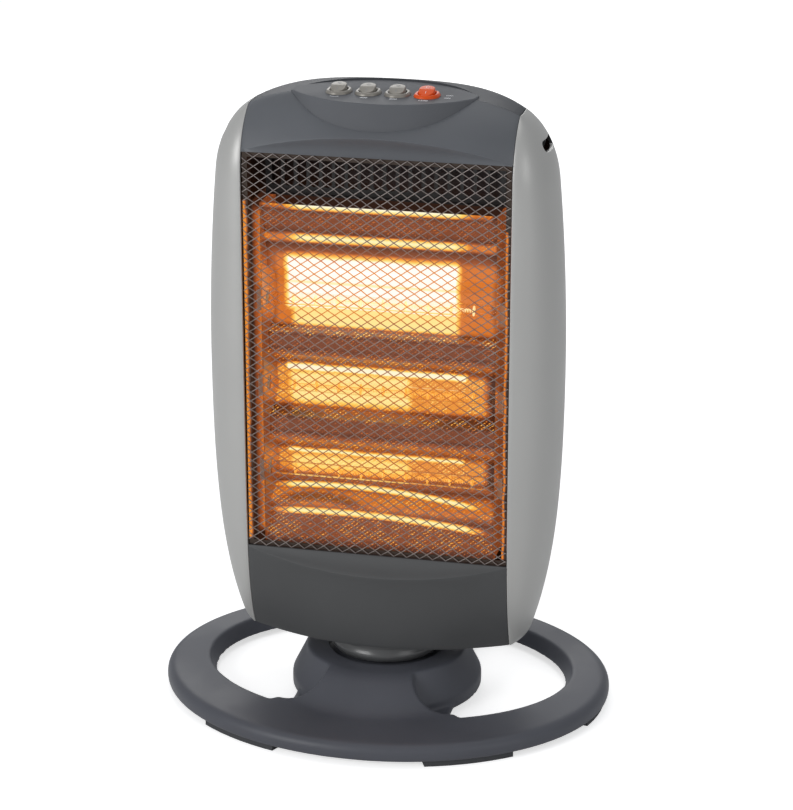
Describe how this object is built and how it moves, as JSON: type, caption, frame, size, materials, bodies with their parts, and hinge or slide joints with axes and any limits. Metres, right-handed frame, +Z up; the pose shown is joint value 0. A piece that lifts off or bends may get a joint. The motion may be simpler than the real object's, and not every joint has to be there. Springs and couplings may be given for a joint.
{
  "type": "halogen heater",
  "caption": "Barrel-shaped halogen heater with quartz tubes behind a diamond wire guard and rocker switches on top; its head swings from side to side on an open oval base.",
  "frame": {"origin": "on the floor, under the middle of the oval base, in the head's turning axis", "axes": "+X to the heater's right as seen from the front, +Y to the back, +Z up; the wire guard faces -Y"},
  "size_m": [0.34, 0.276, 0.4694],
  "materials": {
    "base_plastic": "satin",
    "dark_plastic": "satin",
    "black_plastic": "matte",
    "neck_plastic": "gloss",
    "white_plastic": "satin",
    "satin_silver": "satin",
    "switch_silver": "satin",
    "switch_orange": "satin",
    "guard_wire": "satin",
    "steel": "satin",
    "black_metal": "matte",
    "reflector_sheet": "polished",
    "ceramic": "matte",
    "quartz": "gloss",
    "filament": "satin",
    "rubber": "matte"
  },
  "bodies": {
    "base": {"base_moulding": "base_plastic", "base_cover": "black_plastic", "base_feet": "rubber", "cover_screws": "steel", "pivot_tube": "steel", "bearing_washer": "white_plastic", "retaining_ring": "steel", "drive_arm": "steel", "tip_switch_body": "black_plastic"},
    "plunger": {"tip_switch_plunger": "white_plastic"},
    "head": {"swivel_neck": "neck_plastic", "head_floor": "dark_plastic", "case_screws": "steel", "oscillation_motor": "steel", "motor_posts": "steel", "left_side_panel": "satin_silver", "right_side_panel": "satin_silver", "top_front_panel": "dark_plastic", "lower_front_panel": "dark_plastic", "rear_housing": "dark_plastic", "housing_screws": "black_metal", "cord_bush": "black_plastic", "control_pod": "dark_plastic", "switch_bezel_1": "switch_silver", "switch_bezel_2": "switch_silver", "switch_bezel_3": "switch_silver", "switch_bezel_4": "switch_orange", "guard_mesh": "guard_wire", "guard_frame": "steel", "inner_chassis": "steel", "chassis_posts": "steel", "reflector": "reflector_sheet", "reflector_end_left": "reflector_sheet", "reflector_end_right": "reflector_sheet", "vent_baffle": "black_metal", "thermal_cutout": "black_metal", "tube_holders_left": "ceramic", "tube_holders_right": "ceramic", "halogen_tube_1": "quartz", "halogen_tube_2": "quartz", "halogen_tube_3": "quartz", "heating_coil_1": "filament", "heating_coil_2": "filament", "heating_coil_3": "filament"},
    "crank": {"crank_disc": "steel"},
    "rocker_1": {"rocker_1": "switch_silver"},
    "rocker_2": {"rocker_2": "switch_silver"},
    "rocker_3": {"rocker_3": "switch_silver"},
    "rocker_4": {"rocker_4": "switch_orange"}
  },
  "joints": [
    {"name": "tip_switch", "type": "slide", "parent": "base", "child": "plunger", "axis": [0, 0, 1], "range_m": [-0.004, 0], "stiffness_N_per_m": 60, "springref_m": -0.004},
    {"name": "head_swing", "type": "hinge", "parent": "base", "child": "head", "pos_m": [0, 0, 0.045], "axis": [0, 0, 1], "range_deg": [-30, 30]},
    {"name": "crank_turn", "type": "hinge", "parent": "head", "child": "crank", "pos_m": [0.034, 0, 0.0625], "axis": [0, 0, 1], "continuous": true},
    {"name": "rocker_1_tilt", "type": "hinge", "parent": "head", "child": "rocker_1", "pos_m": [-0.0318, -0.011, 0.463], "axis": [1, 0, 0], "range_deg": [-30, 0]},
    {"name": "rocker_2_tilt", "type": "hinge", "parent": "head", "child": "rocker_2", "pos_m": [-0.0106, -0.011, 0.463], "axis": [1, 0, 0], "range_deg": [-30, 0]},
    {"name": "rocker_3_tilt", "type": "hinge", "parent": "head", "child": "rocker_3", "pos_m": [0.0106, -0.011, 0.463], "axis": [1, 0, 0], "range_deg": [-30, 0]},
    {"name": "rocker_4_tilt", "type": "hinge", "parent": "head", "child": "rocker_4", "pos_m": [0.0318, -0.011, 0.463], "axis": [1, 0, 0], "range_deg": [-30, 0]}
  ]
}
